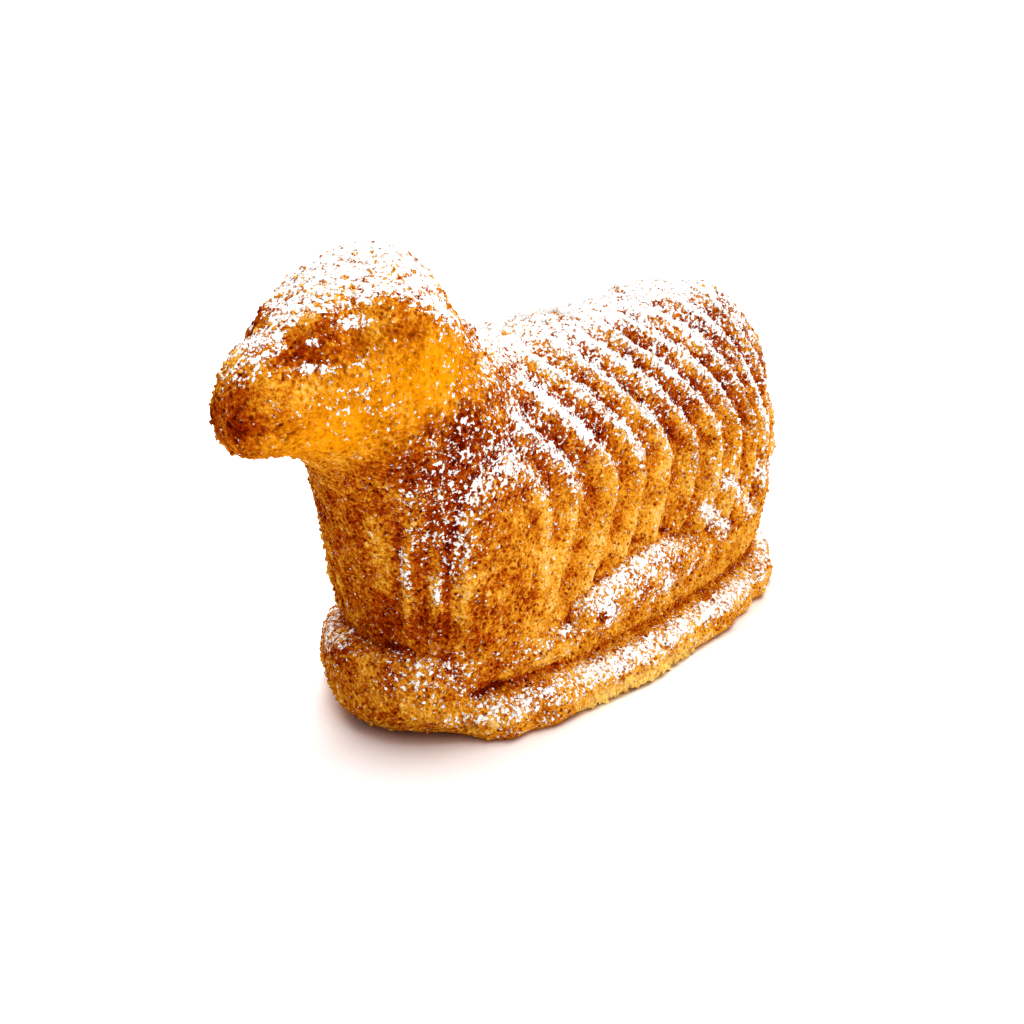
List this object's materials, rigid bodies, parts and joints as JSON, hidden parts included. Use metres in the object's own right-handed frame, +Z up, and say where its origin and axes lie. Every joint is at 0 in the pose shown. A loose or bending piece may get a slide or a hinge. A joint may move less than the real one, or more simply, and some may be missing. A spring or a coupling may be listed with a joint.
{
  "type": "easter lamb cake",
  "caption": "Sponge cake baked in a mould as a lying lamb on an oval plinth, with wool ridges over its back and flanks, dusted with icing sugar.",
  "frame": {"origin": "middle of the cake's bounding box, on the surface that it stands on", "axes": "+X from the nose to the tail, +Y to the lamb's right, +Z up"},
  "size_m": [0.16, 0.0626, 0.092],
  "materials": {
    "sponge": "golden-brown baked sponge crust, matte, finely pored, dusted with white icing sugar"
  },
  "bodies": {
    "root": {"lamb_cake": "sponge"}
  },
  "joints": []
}
